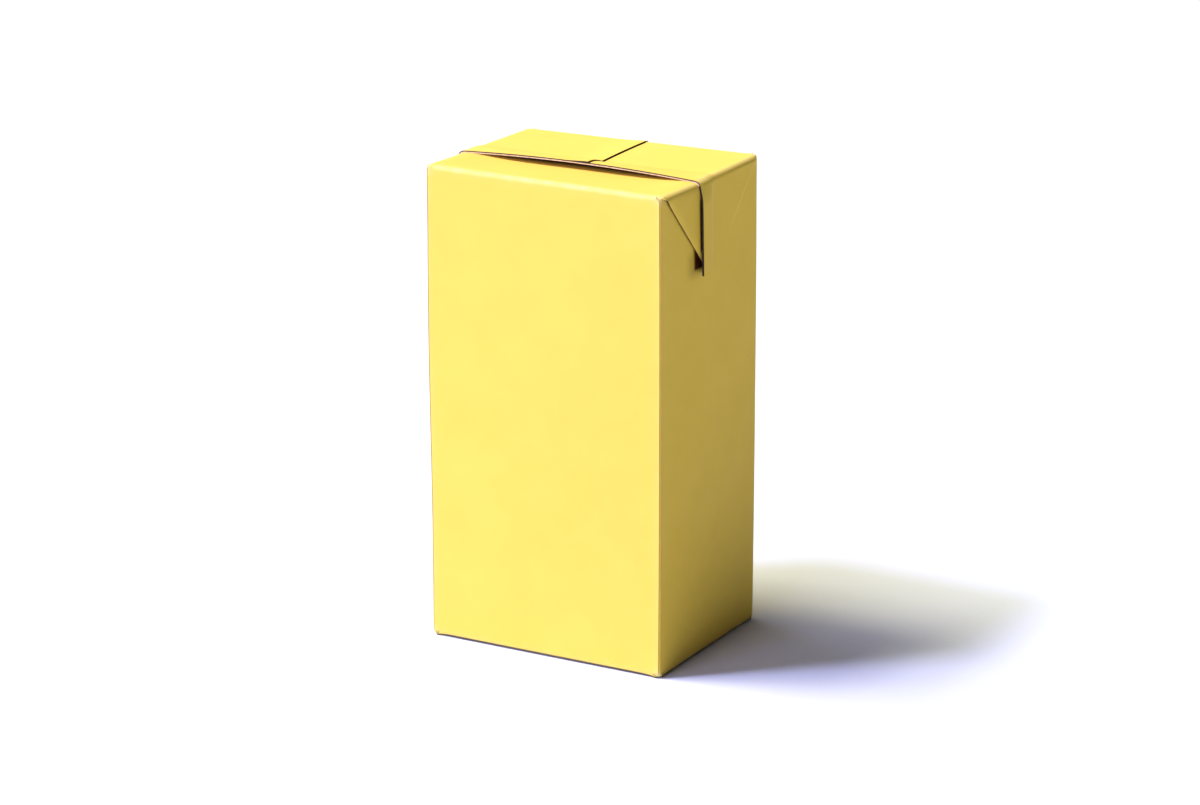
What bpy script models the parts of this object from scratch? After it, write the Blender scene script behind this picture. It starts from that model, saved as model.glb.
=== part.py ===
"""A one-litre brick carton of coated board, folded from one sheet, full and sealed shut."""
import math

import bmesh
import bpy
from mathutils import Vector

# Driving dimensions, in metres. The front panel faces -Y and the carton stands on z = 0.
WIDTH = 0.091           # front panel, between the side panels
DEPTH = 0.0695          # side panel, between front and back
HEIGHT = 0.169          # floor to the creases round the top
BOARD = 0.00038         # one layer of coated board
FIN_WIDTH = 0.0080      # cross seal, from its root to its cut edge
ROOT_Y = -0.00175       # root of the cross seal, a little forward of the middle
SEAM_X = 0.0026         # cut edge of the long overlap seam, from the middle of the back

# Roundness of the creases
UPRIGHT_RADIUS = 0.0020
CREASE_RADIUS = 0.0013
EAR_BEND = 0.0020       # outer radius where the top sheet turns down into an ear

# What the filling does to the flat panels
FRONT_CROWN = 0.0012
BACK_CROWN = 0.0008     # the seam's step stands on top of this
SIDE_CROWN = 0.0006
TOP_TWIST = 0.0004      # how far opposite corners of the top are up and down

# How the top sheet lies, measured from the level of the creases round it
FIN_RISE = 0.0017       # upper face of the cross seal at its cut edge, mid-width
FIN_RISE_END = 0.00015  # the same at the side creases
FIN_GAP = 0.0022        # gap under the cut edge, mid-width
FIN_GAP_END = 0.041     # from the middle to where that gap has closed
FIN_ARCH = 2.1          # how much faster the cross seal rises at its root than at its edge
ROOT_RISE = 0.00045     # the fold at the root of the cross seal
ROOT_TURN = 0.0003      # width of that fold
FRONT_DIP = 1.2         # the front half sags more near the cross seal
BACK_SAG = 0.0007       # valley behind the cross seal
BACK_DIP = 1.9
VALLEY_Y = 0.0019
LAYER_GAP = 0.0001      # between layers that lie on one another

# How it goes on down the sides
EAR_FIN_LIFT = 0.0008   # gap under the cut edge on the ears
LEFT_SPREAD = 0.0035    # the cross seal lifts off the left ear sooner than off the right
RIGHT_SPREAD = 0.009
EAR_VALLEY = 0.0012     # from the root back to the ear's flat part
EAR_STAND = 0.0003      # between an ear and its side panel
BLUNT = 0.94            # share of an ear left by the cut across its tip

SEAM_STEP = 0.0004
SEAM_FADE = 0.009       # width over which the overlap sinks back into the panel
EDGE_CLEARANCE = 0.0004  # front and back lower creases above the floor
BASE_RECESS = 0.0012    # lower panel above the floor, mid-base

# Worked out from the above
LAYERS = 2 * BOARD
FREE_Y = ROOT_Y - FIN_WIDTH
EAR_FACE = WIDTH / 2 + LAYERS + EAR_STAND               # outer face of an ear
FLAT = EAR_FACE - EAR_BEND                              # half the top sheet before it bends
EAR_LENGTH = DEPTH / 2                                  # to the point where an ear's edges meet
SHEET_HALF = WIDTH / 2 + BLUNT * EAR_LENGTH             # to the blunt tip
LIFT_START = WIDTH / 2 - 0.001                          # where the cross seal leaves the top
TOP_HALF_DEPTH = DEPTH / 2 - CREASE_RADIUS
FUSE = 0.0008           # how far a folded part reaches into the sleeve that it is glued to
SKIN = 0.00002          # the top sheet above the sleeve it closes
TOP_SINK = 0.0015       # top of the sleeve under the sagging sheet
RIM_SINK = 0.0009       # the same at the side creases


def clear_scene():
    for obj in list(bpy.data.objects):
        bpy.data.objects.remove(obj, do_unlink=True)


def smooth(t):
    t = min(max(t, 0.0), 1.0)
    return t * t * (3 - 2 * t)


def mix(a, b, t):
    return a + (b - a) * t


def board_material():
    """Pale yellow coated board."""
    material = bpy.data.materials.new("coated board")
    material.use_nodes = True
    shader = material.node_tree.nodes["Principled BSDF"]
    shader.inputs["Base Color"].default_value = (0.93, 0.80, 0.26, 1)
    shader.inputs["Roughness"].default_value = 0.45
    shader.inputs["Metallic"].default_value = 0.0
    return material


def solid(name, bm):
    """Makes an object of a finished mesh, its faces turned outwards."""
    bmesh.ops.recalc_face_normals(bm, faces=bm.faces)
    mesh = bpy.data.meshes.new(name)
    bm.to_mesh(mesh)
    bm.free()
    obj = bpy.data.objects.new(name, mesh)
    bpy.context.collection.objects.link(obj)
    return obj


def swell(co):
    """Crowns the four upright panels and twists the top a little, as a full carton has it."""
    up = co.z / HEIGHT
    bow = 1 - abs(2 * min(max(up, 0.0), 1.0) - 1) ** 2.4
    along = math.cos(math.pi * min(max(co.x / WIDTH, -0.5), 0.5))
    across = math.cos(math.pi * min(max(co.y / DEPTH, -0.5), 0.5))
    out_y = smooth((abs(co.y) - DEPTH / 2 + 0.004) / 0.002)
    out_x = smooth((abs(co.x) - WIDTH / 2 + 0.004) / 0.002)
    moved = co.copy()
    crown = BACK_CROWN if co.y > 0 else -FRONT_CROWN
    moved.y += crown * along * bow * out_y
    moved.x += math.copysign(SIDE_CROWN * across * bow * out_x, co.x)
    corner = (co.x / (WIDTH / 2)) * (co.y / (DEPTH / 2))
    moved.z += TOP_TWIST * corner * smooth((up - 0.7) / 0.3)
    return moved


def seam_relief(x):
    """Height of the overlap: sharp at its cut edge, fading the other way."""
    if x > SEAM_X:
        return 0.0
    return SEAM_STEP * (1 - smooth((SEAM_X - x) / SEAM_FADE))


def base_height(x, y):
    """Lower panel above the floor: low at the side creases, recessed under the ears."""
    from_side = smooth((WIDTH / 2 - CREASE_RADIUS - abs(x)) / 0.006)
    from_edge = smooth((DEPTH / 2 - CREASE_RADIUS - abs(y)) / 0.012)
    return from_side * (EDGE_CLEARANCE + (BASE_RECESS - EDGE_CLEARANCE) * from_edge) + SKIN


def parallel(edges, axis):
    """The edges that run along one axis."""
    return [e for e in edges if abs((e.verts[0].co - e.verts[1].co).normalized()[axis]) > 0.99]


def sleeve():
    """The four upright panels with the flat top and base under the folds."""
    bm = bmesh.new()
    bmesh.ops.create_cube(bm, size=1)
    bmesh.ops.scale(bm, vec=(WIDTH, DEPTH, HEIGHT), verts=bm.verts)
    bmesh.ops.translate(bm, vec=(0, 0, HEIGHT / 2), verts=bm.verts)
    for axis, cuts in ((0, 9), (1, 7), (2, 11)):
        bmesh.ops.subdivide_edges(bm, edges=parallel(bm.edges, axis), cuts=cuts)
    corners = [e for e in parallel(bm.edges, 2) if e.calc_face_angle() > 1]
    bmesh.ops.bevel(bm, geom=corners, affect="EDGES", offset=UPRIGHT_RADIUS, segments=4, profile=0.5,
                    material=-1)
    rims = [e for e in bm.edges if e.calc_face_angle() > 1]
    bmesh.ops.bevel(bm, geom=rims, affect="EDGES", offset=CREASE_RADIUS, segments=3, profile=0.5,
                    material=-1)
    for x in (SEAM_X, SEAM_X + BOARD / 4, SEAM_X - SEAM_FADE / 2):
        everything = list(bm.verts) + list(bm.edges) + list(bm.faces)
        bmesh.ops.bisect_plane(bm, geom=everything, plane_co=(x, 0, 0), plane_no=(1, 0, 0), dist=1e-6)
    for vert in bm.verts:
        x, y, z = vert.co
        vert.co = swell(vert.co)
        if y > TOP_HALF_DEPTH + 1e-6:
            outward = Vector((0, y - TOP_HALF_DEPTH, max(z - HEIGHT + CREASE_RADIUS, 0))).normalized()
            vert.co += outward * seam_relief(x)
        at_top = smooth((z - HEIGHT + 0.004) / 0.003) * smooth((TOP_HALF_DEPTH - abs(y)) / 0.006)
        from_side = smooth((WIDTH / 2 - CREASE_RADIUS - abs(x)) / 0.006)
        vert.co.z -= mix(RIM_SINK, TOP_SINK, from_side) * at_top
        vert.co.z += base_height(x, y) * smooth(1 - z / (2 * CREASE_RADIUS))
    return solid("carton", bm)


def fold_over(s, y, n):
    """Place of a point on the top sheet: s across the width and down an ear, n off the sheet."""
    reach = abs(s)
    angle = min(max((reach - FLAT) / EAR_BEND, 0.0), math.pi / 2)
    drop = max(reach - FLAT - EAR_BEND * math.pi / 2, 0.0)
    x = min(reach, FLAT) + (EAR_BEND + n) * math.sin(angle)
    z = HEIGHT - EAR_BEND + (EAR_BEND + n) * math.cos(angle) - drop
    return swell(Vector((math.copysign(x, s), y, z)))


def top_section(s):
    """Cross-section of the top sheet at s, front to back: front half, cross seal, back half.

    Each point is a place along the depth and a height off the level of the creases. The cross
    seal is flush at the side creases, bows up between them and stands off a little on the ears.
    The front half lies under it with the gap that the cut edge shows.
    """
    reach = abs(s)
    bow = max(1 - (reach / (WIDTH / 2)) ** 2, 0)
    down = max((reach - WIDTH / 2) / EAR_LENGTH, 0)
    on_ear = smooth((reach - LIFT_START) / (RIGHT_SPREAD if s > 0 else LEFT_SPREAD))
    front = mix(-TOP_HALF_DEPTH, ROOT_Y, down)
    back = mix(TOP_HALF_DEPTH, ROOT_Y, down)
    cut_edge = mix(mix(FIN_RISE_END, FIN_RISE, bow), LAYERS + EAR_FIN_LIFT, on_ear)
    gap = FIN_GAP * (1 - min(reach / FIN_GAP_END, 1) ** 3) + LAYER_GAP
    sag = max(gap - (cut_edge - LAYERS), 0)
    root = mix(ROOT_RISE, LAYERS + LAYER_GAP, on_ear)
    floor = root - LAYERS - LAYER_GAP
    valley = min(mix(VALLEY_Y, ROOT_Y + EAR_VALLEY, on_ear), mix(ROOT_Y, back, 0.7))
    overlap = seam_relief(s)
    under_edge = max(FREE_Y, mix(front, ROOT_Y, 0.2))
    turn = max(ROOT_Y - ROOT_TURN, mix(front, ROOT_Y, 0.9))
    under = -LAYERS - FUSE

    spread = [(t, 1 - (1 - t) ** FIN_ARCH) for t in (0.06, 0.25, 0.5, 0.75, 1.0)]
    out = [(front, under), (front - 0.8 * BOARD, -BOARD), (front - 0.3 * BOARD, -0.15 * BOARD)]
    out += [(front, -SKIN)]
    out += [(mix(front, under_edge, t), SKIN - sag * t ** FRONT_DIP) for t in (0.05, 0.35, 0.7)]
    out += [(mix(turn, under_edge, t), mix(floor, -sag, rise) + SKIN) for t, rise in reversed(spread)]
    out += [(mix(ROOT_Y, FREE_Y, t), mix(root, cut_edge, rise) - LAYERS) for t, rise in spread]
    out += [(mix(ROOT_Y, FREE_Y, t), mix(root, cut_edge, rise) + overlap) for t, rise in reversed(spread)]
    out += [(mix(ROOT_Y, valley, t), mix(root, -BACK_SAG * bow, t) + overlap) for t in (0.0, 0.5, 0.95)]
    out += [(mix(valley, back, t), SKIN - BACK_SAG * bow * (1 - t) ** BACK_DIP + overlap)
            for t in (0.1, 0.3, 0.55, 0.8)]
    out += [(back, overlap - SKIN), (back + 0.3 * BOARD, -0.15 * BOARD + overlap)]
    out += [(back + 0.8 * BOARD, -BOARD), (back, under)]
    return out


def stations():
    """Where the sections stand: closer over the bends, one pair at the overlap's cut edge."""
    bend_end = FLAT + EAR_BEND * math.pi / 2
    side = [FLAT * t / 12 for t in range(1, 13)]
    side += [mix(FLAT, bend_end, t / 6) for t in range(1, 7)]
    side += [mix(bend_end, LIFT_START + RIGHT_SPREAD, t / 3) for t in range(1, 4)]
    side += [mix(LIFT_START + RIGHT_SPREAD, SHEET_HALF, t / 4) for t in range(1, 5)]
    overlap = [SEAM_X - SEAM_FADE / 2, SEAM_X, SEAM_X + BOARD / 4]
    return sorted([-s for s in side] + overlap + side)


def top_fold():
    """The top sheet in one sweep, from the tip of one ear over the top to the tip of the other."""
    bm = bmesh.new()
    places = stations()
    ring = [bm.verts.new(fold_over(places[0], y, n)) for y, n in top_section(places[0])]
    first = end = bm.faces.new(ring)
    for s in places[1:]:
        grown = bmesh.ops.extrude_face_region(bm, geom=[end])["geom"]
        if end is not first:
            bm.faces.remove(end)
        end = next(item for item in grown if isinstance(item, bmesh.types.BMFace))
        for vert, (y, n) in zip(end.verts, top_section(s)):
            vert.co = fold_over(s, y, n)
    bmesh.ops.triangulate(bm, faces=[f for f in bm.faces if len(f.verts) > 4])
    return solid("top fold", bm)


def plate(name, outline, low, high):
    """A flat board of a given outline, between two heights."""
    bm = bmesh.new()
    face = bm.faces.new([bm.verts.new((x, y, low)) for x, y in outline])
    grown = bmesh.ops.extrude_face_region(bm, geom=[face])["geom"]
    lifted = [item for item in grown if isinstance(item, bmesh.types.BMVert)]
    bmesh.ops.translate(bm, vec=(0, 0, high - low), verts=lifted)
    return solid(name, bm)


def base_folds():
    """The two lower ears, tucked under the base tip to tip, and the cross seal between them."""
    heel = WIDTH / 2 - CREASE_RADIUS
    breadth = DEPTH / 2 - CREASE_RADIUS - 0.0005
    tip = WIDTH / 2 - EAR_LENGTH
    ears = [plate("lower ear", [(side * heel, -breadth), (side * tip, 0), (side * heel, breadth)],
                  0.0, BASE_RECESS + FUSE) for side in (-1, 1)]
    run = tip + 0.004
    seal = plate("lower seal", [(-run, 0), (run, 0), (run, FIN_WIDTH), (-run, FIN_WIDTH)],
                 BASE_RECESS - LAYERS, BASE_RECESS + FUSE)
    return ears + [seal]


def unite(body, others):
    """Joins the folded parts to the sleeve, as one closed sheet of board encloses one filling."""
    group = bpy.data.collections.new("folds")
    bpy.context.scene.collection.children.link(group)
    for obj in others:
        group.objects.link(obj)
    union = body.modifiers.new("union", "BOOLEAN")
    union.operation = "UNION"
    union.operand_type = "COLLECTION"
    union.collection = group
    union.solver = "EXACT"
    joined = bpy.data.meshes.new_from_object(body.evaluated_get(bpy.context.evaluated_depsgraph_get()))
    body.modifiers.clear()
    body.data = joined
    for obj in others:
        bpy.data.objects.remove(obj, do_unlink=True)
    bpy.data.collections.remove(group)


clear_scene()
carton = sleeve()
unite(carton, [top_fold()] + base_folds())
carton.data.materials.clear()
carton.data.materials.append(board_material())
carton.data.shade_smooth()
carton.data.set_sharp_from_angle(angle=math.radians(35))
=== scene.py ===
"""The finish of a one-litre brick carton of pale yellow coated board, standing in soft studio light."""
import math

import bmesh
import bpy
from mathutils import Euler, Matrix, Vector, noise


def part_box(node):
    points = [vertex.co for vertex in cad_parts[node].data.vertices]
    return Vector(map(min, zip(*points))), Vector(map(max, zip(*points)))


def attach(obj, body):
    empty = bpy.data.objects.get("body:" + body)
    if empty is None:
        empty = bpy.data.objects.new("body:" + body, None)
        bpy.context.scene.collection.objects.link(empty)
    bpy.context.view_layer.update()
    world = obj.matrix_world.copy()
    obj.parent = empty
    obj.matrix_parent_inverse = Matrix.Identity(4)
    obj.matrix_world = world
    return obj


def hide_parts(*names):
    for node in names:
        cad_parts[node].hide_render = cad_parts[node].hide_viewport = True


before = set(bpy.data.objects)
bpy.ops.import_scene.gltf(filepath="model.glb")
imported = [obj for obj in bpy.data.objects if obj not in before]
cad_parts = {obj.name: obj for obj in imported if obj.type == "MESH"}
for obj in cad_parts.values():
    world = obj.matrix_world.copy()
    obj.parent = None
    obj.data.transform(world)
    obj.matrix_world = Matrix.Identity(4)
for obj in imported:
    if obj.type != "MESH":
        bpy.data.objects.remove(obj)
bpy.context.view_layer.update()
low = Vector(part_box("carton")[0])

# Sleeve
# The four upright panels of a tube of coated board, creased at the corners and filled
# until they crown. The board is wrapped round from the front and overlaps down the back.
WIDTH = 0.091
DEPTH = 0.0695
HEIGHT = 0.169
UPRIGHT_RADIUS = 0.0020
CREASE_RADIUS = 0.0013
TOP_HALF_DEPTH = DEPTH / 2 - CREASE_RADIUS
FRONT_CROWN = 0.0011
BACK_CROWN = 0.0006
SIDE_CROWN = 0.0006
EDGE_BOW = 0.0003           # the upright edges aren't quite straight
TOP_TWIST = 0.0004
UNEVEN = 0.0001             # how far the filled board is from an even curve
SEAM_X = 0.0026
SEAM_STEP = 0.0004
SEAM_FADE = 0.009
SEAM_GROOVE = 0.0006
EDGE_CLEARANCE = 0.0004
BASE_RECESS = 0.0012
SKIN = 0.00002
TOP_SINK = 0.0015
SINK_BAND = 0.004, 0.003    # start below the top and length over which the sink sets in
SINK_FADE = 0.006
PANEL_BAND = 0.004          # how far in from a panel's face a point still moves with it
BOW_POWER = 2.4
UNEVEN_SCALE = 34, 34, 26
HAIR = 0.00003              # width given to an upright step
SLEEVE_CUTS = (45, 34, 84)
SEAM_LINES = (SEAM_X, SEAM_X + HAIR, SEAM_X + SEAM_GROOVE, SEAM_X + SEAM_GROOVE + HAIR)
ROOT_Y = -0.00175           # root of the cross seal, a little forward of the middle
FIN_WIDTH = 0.0080
FREE_Y = ROOT_Y - FIN_WIDTH     # its cut edge
STUB_Z = 0.1388, 0.1465     # stretch of that edge that stands clear of the panel below the ear
GAP_LINES = -0.0038, -0.0031, -0.0024, -0.0016, 0.008, 0.0095   # cuts beside it that bound the painted shade of the dark gap
GAP_ENDS = -0.0006, 0.0006
# Painted shade on the sleeve: dark brown along the lower creases, in the groove beside the overlap, and
# under and before the seals' ends below the ears.
LOWER_SHADE_WIDTH = 0.0022        # how far in from the lower creases the painted shade reaches
LOWER_SHADE_HEIGHT = 0.0008
LOWER_CREASE_SHADE = 0.85
GROOVE_PAINTED_SHADE = 0.95
NEARBY_PAINTED_SHADE = 0.3
CREASE_WEAR = 0.15, 0.5     # wear of the upright and of the level creases
CREASE_SPREAD = 0.0024
CORNER_SPREAD = 0.004


def smooth(t):
    t = min(max(t, 0.0), 1.0)
    return t * t * (3 - 2 * t)


def mix(a, b, t):
    return a + (b - a) * t


def swell(co):
    """Crowns the upright panels, bows their edges and twists the top a little, as filled board does."""
    up = min(max(co.z / HEIGHT, 0.0), 1.0)
    bow = 1 - abs(2 * up - 1) ** BOW_POWER
    along = math.cos(math.pi * min(max(co.x / WIDTH, -0.5), 0.5))
    across = math.cos(math.pi * min(max(co.y / DEPTH, -0.5), 0.5))
    out_y = smooth((abs(co.y) - DEPTH / 2 + PANEL_BAND) / (PANEL_BAND / 2))
    out_x = smooth((abs(co.x) - WIDTH / 2 + PANEL_BAND) / (PANEL_BAND / 2))
    uneven = UNEVEN * bow * noise.noise(Vector(c * scale for c, scale in zip(co, UNEVEN_SCALE)))
    edge = -math.sin(2 * math.pi * (up - 0.42)) if co.x < 0 else 0.8
    moved = co.copy()
    crown = BACK_CROWN if co.y > 0 else FRONT_CROWN
    moved.y += math.copysign((crown * bow + uneven) * along * out_y, co.y)
    moved.x += math.copysign((SIDE_CROWN * bow + uneven) * across * out_x, co.x)
    moved.x += EDGE_BOW * edge * bow * smooth((1 - up) / 0.2) * out_x
    moved.z += TOP_TWIST * (co.x / (WIDTH / 2)) * (co.y / (DEPTH / 2)) * smooth((up - 0.7) / 0.3)
    return moved


def seam_relief(x, seam=SEAM_X):
    """Height of the overlap: a cut edge with a groove beside it, sinking away to the left."""
    if x > seam + 1e-6:
        return -0.3 * SEAM_STEP if x < seam + SEAM_GROOVE + 1e-6 else 0.0
    return SEAM_STEP * (1 - smooth((seam - x) / SEAM_FADE))


def base_height(x, y):
    """Lower panel above the floor: low at the side creases, recessed under the ears."""
    from_side = smooth((WIDTH / 2 - CREASE_RADIUS - abs(x)) / 0.006)
    from_edge = smooth((TOP_HALF_DEPTH - abs(y)) / 0.012)
    return from_side * (EDGE_CLEARANCE + (BASE_RECESS - EDGE_CLEARANCE) * from_edge) + SKIN


def edge_wear(x, y, z):
    """How worn a point of the sleeve is: most at its corners, some along its creases."""
    gaps = sorted((WIDTH / 2 - abs(x), DEPTH / 2 - abs(y), min(z, HEIGHT - z)))
    level = WIDTH / 2 - abs(x) > gaps[1] or DEPTH / 2 - abs(y) > gaps[1]
    creases = CREASE_WEAR[level] * (1 - smooth(gaps[1] / CREASE_SPREAD))
    return max(creases, 1 - smooth(gaps[2] / CORNER_SPREAD))


def sleeve_painted_shade(x, y, z):
    """How much painted shade a point gets: in the groove beside the overlap, along the lower creases, in
    the gap under the seals' ends and a softer painted shadow before it.
    """
    if y > TOP_HALF_DEPTH and SEAM_X + HAIR / 2 < x < SEAM_X + SEAM_GROOVE + HAIR / 2:
        return GROOVE_PAINTED_SHADE
    # Painted shade along the lower creases, where they meet the table.
    if z < 0.001:
        at_side = smooth((abs(x) - WIDTH / 2 + LOWER_SHADE_WIDTH) / 0.001)
        at_front = smooth((abs(y) - DEPTH / 2 + LOWER_SHADE_WIDTH) / 0.001)
        return LOWER_CREASE_SHADE * max(at_side, at_front) * smooth((LOWER_SHADE_HEIGHT - z) / 0.0006)
    if abs(x) < WIDTH / 2 - HAIR:
        return 0.0
    past_edge = y - FREE_Y
    # Painted shade in the gap under the seal's end below the ear, and a softer painted shadow before it.
    under_seal = smooth((past_edge + 0.0038) / 0.0022) if STUB_Z[0] < z < STUB_Z[1] else 0.0
    nearby = NEARBY_PAINTED_SHADE * smooth((past_edge + 0.009) / 0.006)
    nearby *= smooth(1.5 - abs(z - STUB_Z[0] - 0.002) / 0.004)
    return max(under_seal, nearby) * (1 - smooth((past_edge - 0.008) / 0.0015))


def parallel(edges, axis):
    """The edges that run along one axis."""
    return [e for e in edges if abs((e.verts[0].co - e.verts[1].co).normalized()[axis]) > 0.99]


def finish_piece(name, bm, materials, sharp=32):
    """Makes the mesh an object that rides on the carton and stands for its solid."""
    bmesh.ops.recalc_face_normals(bm, faces=bm.faces)
    mesh = bpy.data.meshes.new(name)
    bm.to_mesh(mesh)
    bm.free()
    obj = bpy.data.objects.new(name, mesh)
    bpy.context.scene.collection.objects.link(obj)
    for material in materials:
        mesh.materials.append(material)
    mesh.shade_smooth()
    mesh.set_sharp_from_angle(angle=math.radians(sharp))
    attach(obj, "root")
    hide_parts("carton")


def linear(text):
    """An sRGB hex colour as linear RGBA."""
    parts = [int(text[i:i + 2], 16) / 255 for i in (1, 3, 5)]
    return tuple(c / 12.92 if c <= 0.04045 else ((c + 0.055) / 1.055) ** 2.4 for c in parts) + (1.0,)


def add(tree, kind, links=(), **settings):
    """Adds a node; settings that name an input set its value, links are (input, socket) pairs."""
    node = tree.nodes.new(kind)
    for key, value in settings.items():
        if hasattr(node, key):
            setattr(node, key, value)
        else:
            node.inputs[key.replace("_", " ")].default_value = value
    for name, socket in links:
        tree.links.new(socket, node.inputs[name])
    return node


def new_material(name):
    material = bpy.data.materials.new(name)
    material.use_nodes = True
    return material, material.node_tree, material.node_tree.nodes["Principled BSDF"]


# Coated paperboard: an even satin print coat over fibre board. The eye gets a clean pale yellow,
# a faint mottle where the fibres swell under the coat, a broad dull highlight, creases where the
# coat has crazed pale and rougher in patches of about 3 mm, a painted highlight along the ears'
# root creases, and painted shade, dark brown, inside the folds, in the gaps under the seals' ends,
# in the groove beside the overlap and along the lower creases.
coated_board, tree, shader = new_material("coated_paperboard_yellow")
place = add(tree, "ShaderNodeTexCoord")
mottle = add(tree, "ShaderNodeTexNoise", [("Vector", place.outputs["Object"])], Scale=55.0, Detail=4.0,
             Roughness=0.6)
tint = add(tree, "ShaderNodeValToRGB", [("Fac", mottle.outputs["Fac"])])
tint.color_ramp.elements[0].position = 0.3
tint.color_ramp.elements[0].color = linear("#eeca4c")
tint.color_ramp.elements[1].position = 0.7
tint.color_ramp.elements[1].color = linear("#f1ce50")
# This attribute carries wear of the crazed coat along creases and corners, and a painted highlight along
# the ears' root creases.
wear_and_highlight = add(tree, "ShaderNodeAttribute", attribute_name="wear_and_highlight")
crazing = add(tree, "ShaderNodeTexNoise", [("Vector", place.outputs["Object"])], Scale=330.0, Detail=4.0)
patches = add(tree, "ShaderNodeMapRange", [("Value", crazing.outputs["Fac"])], From_Min=0.40, From_Max=0.64,
              To_Min=0.3, To_Max=0.6)
worn = add(tree, "ShaderNodeMath", [(0, wear_and_highlight.outputs["Fac"]), (1, patches.outputs["Result"])],
           operation="MULTIPLY")
crazed_and_highlit = add(tree, "ShaderNodeMix", [("Factor", worn.outputs["Value"]), (6, tint.outputs["Color"])],
             data_type="RGBA")
crazed_and_highlit.inputs[7].default_value = linear("#f6ecae")
# The attribute read here is painted shade: dark brown mixed in inside folds, gaps and grooves and along the
# lower creases.
depth = add(tree, "ShaderNodeAttribute", attribute_name="painted_fold_shade")
shaded = add(tree, "ShaderNodeMix", [("Factor", depth.outputs["Fac"]), (6, crazed_and_highlit.outputs[2])],
             data_type="RGBA")
shaded.inputs[7].default_value = linear("#421802")
tree.links.new(shaded.outputs[2], shader.inputs["Base Color"])
rough = add(tree, "ShaderNodeMapRange", [("Value", worn.outputs["Value"])], To_Min=0.55, To_Max=0.8)
tree.links.new(rough.outputs["Result"], shader.inputs["Roughness"])
shader.inputs["IOR"].default_value = 1.5
shader.inputs["Specular IOR Level"].default_value = 0.06
fibre = add(tree, "ShaderNodeTexNoise", [("Vector", place.outputs["Object"])], Scale=900.0, Detail=3.0)
bump = add(tree, "ShaderNodeBump", [("Height", fibre.outputs["Fac"])], Strength=0.12, Distance=0.0001)
tree.links.new(bump.outputs["Normal"], shader.inputs["Normal"])


# Cut board: the two plies of the cross seal end in a raw edge, dark where the outer ply is
# stained by its coat and cream where the inner ply is bare fibre. The eye gets a matt line
# that the fibres, about 0.3 mm long, break into lighter and darker flecks. The dark board
# also stands as painted shade on the ears' folded edges and on both plies' edges down the ears,
# and partly on the overlap's step.
def cut_board(name, dark, light):
    material, tree, shader = new_material(name)
    place = add(tree, "ShaderNodeTexCoord")
    flecks = add(tree, "ShaderNodeTexNoise", [("Vector", place.outputs["Object"])], Scale=1600.0,
                 Detail=2.0)
    tint = add(tree, "ShaderNodeValToRGB", [("Fac", flecks.outputs["Fac"])])
    tint.color_ramp.elements[0].position = 0.35
    tint.color_ramp.elements[0].color = linear(dark)
    tint.color_ramp.elements[1].position = 0.65
    tint.color_ramp.elements[1].color = linear(light)
    tree.links.new(tint.outputs["Color"], shader.inputs["Base Color"])
    rough = add(tree, "ShaderNodeMapRange", [("Value", flecks.outputs["Fac"])], To_Min=0.75, To_Max=0.95)
    tree.links.new(rough.outputs["Result"], shader.inputs["Roughness"])
    bump = add(tree, "ShaderNodeBump", [("Height", flecks.outputs["Fac"])], Strength=0.3, Distance=0.0001)
    tree.links.new(bump.outputs["Normal"], shader.inputs["Normal"])
    return material


stained_edge_and_shade = cut_board("cut_board_stained_and_shaded", "#24160a", "#403010")
cream_edge = cut_board("cut_board_cream", "#d9ae6a", "#f0d09a")

bm = bmesh.new()
bmesh.ops.create_cube(bm, size=1)
bmesh.ops.scale(bm, vec=(WIDTH, DEPTH, HEIGHT), verts=bm.verts)
bmesh.ops.translate(bm, vec=(0, 0, HEIGHT / 2), verts=bm.verts)
for axis, cuts in enumerate(SLEEVE_CUTS):
    bmesh.ops.subdivide_edges(bm, edges=parallel(bm.edges, axis), cuts=cuts)
corners = [e for e in parallel(bm.edges, 2) if e.calc_face_angle() > 1]
bmesh.ops.bevel(bm, geom=corners, affect="EDGES", offset=UPRIGHT_RADIUS, segments=8, profile=0.5,
                material=-1)
rims = [e for e in bm.edges if e.calc_face_angle() > 1]
bmesh.ops.bevel(bm, geom=rims, affect="EDGES", offset=CREASE_RADIUS, segments=6, profile=0.5,
                material=-1)
cut_lines = [((x, 0, 0), (1, 0, 0)) for x in SEAM_LINES]
cut_lines += [((0, FREE_Y + shift, 0), (0, 1, 0)) for shift in GAP_LINES]
cut_lines += [((0, 0, z + shift), (0, 0, 1)) for z in STUB_Z for shift in GAP_ENDS]
for place_on, across in cut_lines:
    everything = list(bm.verts) + list(bm.edges) + list(bm.faces)
    bmesh.ops.bisect_plane(bm, geom=everything, plane_co=place_on, plane_no=across, dist=1e-6)
# The overlap's step takes the dark cut board: partly its stained edge, partly painted shade.
for face in bm.faces:
    middle = face.calc_center_median()
    face.material_index = 1 if SEAM_X < middle.x < SEAM_X + HAIR and middle.y > TOP_HALF_DEPTH else 0
# Per point: wear, and painted shade.
wear_and_highlight = bm.verts.layers.float.new("wear_and_highlight")
depth = bm.verts.layers.float.new("painted_fold_shade")
for vert in bm.verts:
    x, y, z = vert.co
    vert[wear_and_highlight] = edge_wear(x, y, z)
    vert[depth] = sleeve_painted_shade(x, y, z)
    vert.co = swell(vert.co)
    if y > TOP_HALF_DEPTH + 1e-6:
        outward = Vector((0, y - TOP_HALF_DEPTH, max(z - HEIGHT + CREASE_RADIUS, 0))).normalized()
        vert.co += outward * seam_relief(x)
    at_top = smooth((z - HEIGHT + SINK_BAND[0]) / SINK_BAND[1])
    vert.co.z -= TOP_SINK * at_top * smooth((TOP_HALF_DEPTH - abs(y)) / SINK_FADE)
    vert.co.z += base_height(x, y) * smooth(1 - z / (2 * CREASE_RADIUS))
finish_piece("sleeve", bm, [coated_board, stained_edge_and_shade])

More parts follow.
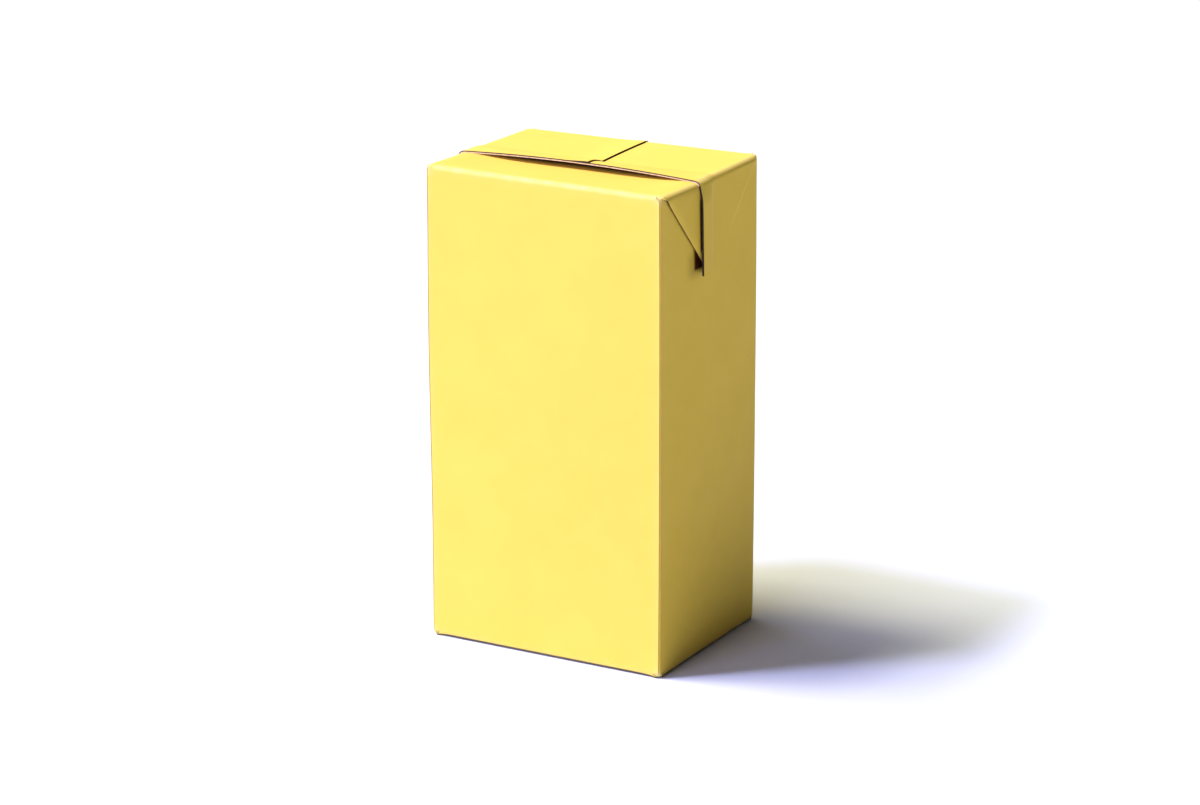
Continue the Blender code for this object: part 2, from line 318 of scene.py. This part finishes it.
# Top fold
# The upper end of the tube, sealed flat across and folded down: a double ply lies over the
# top and turns down each side as a three-cornered ear, with the cross seal laid forward on it.
PLY = 0.00038
LAYERS = 2 * PLY
EAR_BEND = 0.0020
EAR_GAP = 0.00025           # between an ear and its side panel
EAR_FACE = WIDTH / 2 + EAR_GAP + LAYERS
EAR_LENGTH = DEPTH / 2
EAR_REACH = 0.938           # part of its full length that an ear keeps, as its tip is blunt
SHEET_HALF = WIDTH / 2 + EAR_REACH * EAR_LENGTH
FLAT = EAR_FACE - EAR_BEND

# Lie of the top sheet, measured from the level of the creases round it
FIN_RISE = 0.0016           # upper face of the cross seal at its cut edge, mid-width
FIN_RISE_END = 0.00015
FIN_GAP = 0.0022            # gap under the cut edge, mid-width
FIN_GAP_END = 0.041         # where the gap has closed
ROOT_RISE = 0.00045
BACK_SAG = 0.0007           # valley behind the cross seal
VALLEY_Y = 0.0019
ROOT_GAP = 0.00005
EAR_FIN_LIFT = 0.00065      # gap under the cut edge on the ears
SPREAD = 0.0035, 0.009      # length over which the cross seal lifts off the left and right ears
EAR_EDGE_DROP = 0.0003      # an ear's folded edges lie close to the panel
EAR_VALLEY = 0.0012
TOP_UNDER = 0.0017
SEAM_DRIFT = 0.1            # the overlap leans a little to the right on the cross seal
SEAM_REACH = 0.03           # no trace of the overlap further out than this
FIN_CURVE = 2.1             # how the cross seal bends up towards its cut edge
ROLL_LENGTH = 0.004         # length over which an ear's folded edge turns in
PAINTED_FOLD_SHADE = 0.0062, 0.0009  # how far into the folds the painted shade builds up, on the top and on the ears
ROOT_CURVE, SAG_CURVE = 1.2, 1.9
FRONT_STEPS, SEAL_STEPS, ROOT_STEPS, BACK_STEPS = 40, 14, 8, 20
EAR_CLOSE = 0.009           # length of an ear, from its bend, where the sections stand close


def fold_over(s, y, n):
    """Place of a point on the top sheet: s across the width and down an ear, n off the sheet."""
    reach = abs(s)
    angle = min(max((reach - FLAT) / EAR_BEND, 0.0), math.pi / 2)
    drop = max(reach - FLAT - EAR_BEND * math.pi / 2, 0.0)
    x = min(reach, FLAT) + (EAR_BEND + n) * math.sin(angle)
    z = HEIGHT - EAR_BEND + (EAR_BEND + n) * math.cos(angle) - drop
    return swell(Vector((math.copysign(x, s), y, z)))


def steps(count):
    return [i / count for i in range(count + 1)]


def top_section(s):
    """Cross-section of the top sheet at s: places along the depth, heights, and what ends there.

    The third value marks the stretch that starts at a point: 1 the outer ply's cut edge,
    2 the inner ply's, 3 the outer face of the cross seal and the back half, 4 inside the fold.
    The last two are how much painted shade the point gets, and how worn it is or how much painted highlight
    it gets.
    """
    reach = abs(s)
    bow = max(1 - (reach / (WIDTH / 2)) ** 2, 0)
    down = max((reach - WIDTH / 2) / EAR_LENGTH, 0)
    past_crease = reach - WIDTH / 2 + 0.001
    on_ear = smooth(past_crease / SPREAD[s > 0])
    front = mix(-TOP_HALF_DEPTH, ROOT_Y, down)
    back = mix(TOP_HALF_DEPTH, ROOT_Y, down)
    cut_edge = mix(mix(FIN_RISE_END, FIN_RISE, bow), LAYERS + EAR_FIN_LIFT, on_ear)
    gap = FIN_GAP * (1 - min(reach / FIN_GAP_END, 1) ** 3)
    sag = max(gap + ROOT_GAP - (cut_edge - LAYERS), 0)
    root = mix(ROOT_RISE, LAYERS + ROOT_GAP, on_ear)
    floor = root - LAYERS - ROOT_GAP
    valley = min(mix(VALLEY_Y, ROOT_Y + EAR_VALLEY, on_ear), mix(ROOT_Y, back, 0.7))
    under_edge = max(FREE_Y, mix(front, ROOT_Y, 0.2))
    turn = max(ROOT_Y - 0.0003, mix(front, ROOT_Y, 0.9))
    under = -mix(TOP_UNDER, LAYERS, smooth((past_crease + 0.001) / 0.002))
    seal = [(mix(ROOT_Y, FREE_Y, t), mix(root, cut_edge, 1 - (1 - t) ** FIN_CURVE), t)
            for t in steps(SEAL_STEPS)]

    def overlap(y):
        return seam_relief(s, SEAM_X + SEAM_DRIFT * max(VALLEY_Y - y, 0.0)) if reach < SEAM_REACH else 0.0

    def shade_wear_and_highlight(y, kind):
        """Painted shade in the fold or in the groove beside the overlap, and how worn the creases are, with
        a painted highlight along an ear's root crease.
        """
        # Painted shade, darker further into the fold, and in the groove beside the overlap.
        depth = smooth((y - FREE_Y + on_ear * 0.0004) / mix(*PAINTED_FOLD_SHADE, on_ear)) if kind == 4 else 0.0
        if kind == 3 and reach < SEAM_REACH and overlap(y) < 0:
            depth = GROOVE_PAINTED_SHADE
        crease = 1 - smooth(min(y - front, back - y) / 0.0018) if down == 0 else 0.0
        bend = 1 - smooth(abs(reach - FLAT - EAR_BEND / 2) / 0.0018)
        # Pale line along an ear's root crease: painted highlight as well as wear.
        root_highlight = on_ear * (1 - smooth(abs(y - ROOT_Y) / 0.0006)) if kind == 3 else 0.0
        return depth, max(0.5 * crease, 0.3 * bend, 0.8 * root_highlight)

    drop = EAR_EDGE_DROP * smooth((past_crease - 0.003) / 0.003)

    def rolled(t):
        """The sheet near an ear's folded edge, turned in towards the panel."""
        return SKIN - drop * (1 - min(t * (under_edge - front) / ROLL_LENGTH, 1)) ** 2

    out = [(front, under, 1), (front - 0.5 * PLY, under + 0.35 * PLY, 1)]
    out += [(front - 0.8 * PLY, -PLY - drop / 2, 1)]
    out += [(front - 0.65 * PLY, -0.5 * PLY - drop, 1), (front - 0.3 * PLY, -0.15 * PLY - drop, 1)]
    out += [(front, -SKIN - drop, 0)]
    out += [(mix(front, under_edge, t), rolled(t) - sag * t ** ROOT_CURVE, 0)
            for t in steps(FRONT_STEPS)[1:-1]]
    out += [(mix(turn, under_edge, t), mix(floor, -sag, 1 - (1 - t) ** FIN_CURVE) + SKIN, 4)
            for t in steps(SEAL_STEPS)[:0:-1]]
    out += [(y, n - LAYERS, 4) for y, n, t in seal[1:-1]]
    out += [(FREE_Y, cut_edge - LAYERS, 2), (FREE_Y, cut_edge - PLY, 1)]
    out += [(y, n + overlap(y), 3) for y, n, t in seal[:0:-1]]
    for t in steps(ROOT_STEPS)[:-1]:
        y = mix(ROOT_Y, valley, t)
        out.append((y, mix(root, -BACK_SAG * bow, t ** ROOT_CURVE) + overlap(y), 3))
    for t in steps(BACK_STEPS)[:-1]:
        y = mix(valley, back, t)
        out.append((y, -BACK_SAG * bow * (1 - t) ** SAG_CURVE + SKIN + overlap(y), 3))
    out += [(back, overlap(back) - SKIN, 0), (back + 0.3 * PLY, -0.15 * PLY, 0)]
    out += [(back + 0.65 * PLY, -0.5 * PLY, 0)]
    out += [(back + 0.8 * PLY, -PLY, 0), (back + 0.5 * PLY, under + 0.35 * PLY, 0), (back, under, 0)]
    return [(y, n, kind) + shade_wear_and_highlight(y, kind) for y, n, kind in out]


def top_stations():
    """Where the sections stand: close over the bends and where the overlap's edge runs."""
    bend_end = FLAT + EAR_BEND * math.pi / 2
    side = [FLAT * t for t in steps(30)[1:]] + [mix(FLAT, bend_end, t) for t in steps(12)[1:]]
    side += [mix(bend_end, bend_end + EAR_CLOSE, t) for t in steps(12)[1:]]
    side += [mix(bend_end + EAR_CLOSE, SHEET_HALF, t) for t in steps(14)[1:]]
    near = [s for s in side if s > SEAM_X + 0.0022]
    overlap = [SEAM_X - 0.0006 + HAIR * 3 * i for i in range(31)]
    return sorted([-s for s in side] + overlap + near)


bm = bmesh.new()
places = top_stations()
wear_and_highlight = bm.verts.layers.float.new("wear_and_highlight")
depth = bm.verts.layers.float.new("painted_fold_shade")
section = top_section(places[0])
rings = [[bm.verts.new(fold_over(places[0], y, n)) for y, n, *rest in section]]
for vert, (*rest, shade_amount, worn) in zip(rings[0], section):
    vert[depth], vert[wear_and_highlight] = shade_amount, worn
first = end = bm.faces.new(rings[0])
for s in places[1:]:
    grown = bmesh.ops.extrude_face_region(bm, geom=[end])["geom"]
    if end is not first:
        bm.faces.remove(end)
    end = next(item for item in grown if isinstance(item, bmesh.types.BMFace))
    for vert, (y, n, kind, shade_amount, worn) in zip(end.verts, top_section(s)):
        vert.co = fold_over(s, y, n)
        vert[depth], vert[wear_and_highlight] = shade_amount, worn
    rings.append(list(end.verts))
for here, there in zip(rings, rings[1:]):
    for i, (y, n, kind, *rest) in enumerate(section):
        face = bm.faces.get((here[i], here[(i + 1) % len(here)], there[(i + 1) % len(there)], there[i]))
        past_bend = here[i].co.z < HEIGHT - 0.0015
        # On the ears the dark cut board is painted shade on the folded edges and both plies' edges; on top
        # it is the outer ply's stained edge, and on the overlap's step partly painted shade.
        if kind == 2:
            face.material_index = 1 if past_bend else 2
        elif kind == 1 and (past_bend or i > 20):
            face.material_index = 1
        elif kind == 3 and abs(here[i].co.z - there[i].co.z) > 0.7 * SEAM_STEP and abs(here[i].co.x) < 0.01:
            face.material_index = 1
bmesh.ops.triangulate(bm, faces=[f for f in bm.faces if len(f.verts) > 4])
finish_piece("top_fold", bm, [coated_board, stained_edge_and_shade, cream_edge])

# Base folds
# The lower ears are tucked under the base tip to tip, and the lower cross seal lies flat
# between them. They carry the carton, a board's thickness below the lower panel.
PLATE_ROOT = 0.0008         # how far a fold reaches into the panel above it
SEAL_OVERRUN = 0.004        # how far the lower cross seal runs in under the ears


def plate(bm, outline, bottom, top):
    face = bm.faces.new([bm.verts.new((x, y, bottom)) for x, y in outline])
    grown = bmesh.ops.extrude_face_region(bm, geom=[face])["geom"]
    lifted = [item for item in grown if isinstance(item, bmesh.types.BMVert)]
    bmesh.ops.translate(bm, vec=(0, 0, top - bottom), verts=lifted)


heel = WIDTH / 2 - CREASE_RADIUS
breadth = TOP_HALF_DEPTH - 0.0005
tip = WIDTH / 2 - EAR_LENGTH
bm = bmesh.new()
for side in (-1, 1):
    ear = [(side * heel, -breadth), (side * tip, 0), (side * heel, breadth)]
    plate(bm, ear, 0.0, BASE_RECESS + PLATE_ROOT)
run = tip + SEAL_OVERRUN
seal = [(-run, 0), (run, 0), (run, FIN_WIDTH), (-run, FIN_WIDTH)]
plate(bm, seal, BASE_RECESS - LAYERS, BASE_RECESS + PLATE_ROOT)
finish_piece("base_folds", bm, [coated_board])

# Studio
# A white table under a wide row of lamps high on the left, whose shadows overlap along the near edge,
# a broad weak fill from the front, and walls that glow faintly behind and on the left.
TABLE_HALF = 4.0
TABLE_DROP = 0.00005        # hair's breadth between the carton and the table
table_bm = bmesh.new()
bmesh.ops.create_grid(table_bm, x_segments=2, y_segments=2, size=TABLE_HALF)
table_mesh = bpy.data.meshes.new("table")
table_bm.to_mesh(table_mesh)
table_bm.free()
table = bpy.data.objects.new("table", table_mesh)
bpy.context.scene.collection.objects.link(table)
table.location = (0, 0, low.z - TABLE_DROP)
white_table, tree, shader = new_material("white_table")
shader.inputs["Base Color"].default_value = (0.72, 0.72, 0.54, 1)
shader.inputs["Roughness"].default_value = 0.8
table_mesh.materials.append(white_table)

world = bpy.data.worlds.new("studio")
bpy.context.scene.world = world
world.use_nodes = True
tree = world.node_tree
where = add(tree, "ShaderNodeTexCoord")
axes = add(tree, "ShaderNodeSeparateXYZ", [("Vector", where.outputs["Generated"])])
behind = add(tree, "ShaderNodeMapRange", [("Value", axes.outputs["Y"])], interpolation_type="SMOOTHSTEP",
             From_Min=-0.2, From_Max=0.6, To_Min=0.03, To_Max=0.33)
to_right = add(tree, "ShaderNodeMapRange", [("Value", axes.outputs["X"])], interpolation_type="SMOOTHSTEP",
               From_Min=0.0, From_Max=0.7, To_Min=1.0, To_Max=0.05)
overhead = add(tree, "ShaderNodeMapRange", [("Value", axes.outputs["Z"])], interpolation_type="SMOOTHSTEP",
               From_Min=0.3, From_Max=0.9, To_Min=1.0, To_Max=0.3)
to_left = add(tree, "ShaderNodeMapRange", [("Value", axes.outputs["X"])], interpolation_type="SMOOTHSTEP",
              From_Min=-0.9, From_Max=-0.3, To_Min=0.7, To_Max=0.0)
dimmed = add(tree, "ShaderNodeMath", [(0, behind.outputs["Result"]), (1, to_right.outputs["Result"])],
             operation="MULTIPLY")
walls = add(tree, "ShaderNodeMath", [(0, dimmed.outputs["Value"]), (1, to_left.outputs["Result"])],
            operation="ADD")
glow = add(tree, "ShaderNodeMath", [(0, walls.outputs["Value"]), (1, overhead.outputs["Result"])],
           operation="MULTIPLY")
tree.links.new(glow.outputs["Value"], tree.nodes["Background"].inputs["Strength"])
tree.nodes["Background"].inputs["Color"].default_value = (1, 0.98, 0.85, 1)


def sun(name, direction, spread, strength, colour):
    """A distant lamp at (azimuth from the front, elevation), as wide as its spread, in degrees."""
    azimuth, elevation = (math.radians(v) for v in direction)
    data = bpy.data.lights.new(name, "SUN")
    data.angle = math.radians(spread)
    data.energy = strength
    data.color = colour
    light = bpy.data.objects.new(name, data)
    light.rotation_euler = Euler((math.pi / 2 - elevation, 0, azimuth))
    bpy.context.scene.collection.objects.link(light)


sun("key", (-50, 56), 8, 1.7, (0.95, 1.0, 2.4))
for azimuth, elevation in ((-64, 57), (-80, 60), (-78, 70), (-66, 64)):
    sun("strip light", (azimuth, elevation), 9, 0.75, (1, 1, 1.1))
sun("front fill", (-10, 14), 40, 1.55, (0.92, 1.0, 2.4))
sun("left rim", (-105, 18), 30, 0.6, (0.95, 1.0, 2.0))

# Camera
# A short telephoto lens, a little above the carton and to the right of its front.
AZIMUTH, ELEVATION, ROLL = (math.radians(v) for v in (29.47, 16.84, -0.11))
FOCAL_PX, IMAGE_PX, SENSOR = 3843, 1200, 36
DISTANCE = 7.905                        # in carton heights, like the aim
AIM_RIGHT, AIM_DOWN = 0.0138, 0.0107    # where the camera aims, away from the carton's middle
right = Vector((math.cos(AZIMUTH), math.sin(AZIMUTH), 0))
toward = Vector((math.sin(AZIMUTH) * math.cos(ELEVATION), -math.cos(AZIMUTH) * math.cos(ELEVATION),
                 math.sin(ELEVATION)))
above = toward.cross(right)
camera_data = bpy.data.cameras.new("camera")
camera_data.sensor_width = SENSOR
camera_data.lens = FOCAL_PX / IMAGE_PX * SENSOR
camera = bpy.data.objects.new("camera", camera_data)
bpy.context.scene.collection.objects.link(camera)
target = Vector((0, 0, HEIGHT / 2)) + HEIGHT * (AIM_RIGHT * right - AIM_DOWN * above)
turn = Matrix((right, above, toward)).transposed() @ Euler((0, 0, ROLL)).to_matrix()
camera.matrix_world = Matrix.Translation(target + toward * DISTANCE * HEIGHT) @ turn.to_4x4()
bpy.context.scene.camera = camera
bpy.context.scene.view_settings.view_transform = "Standard"
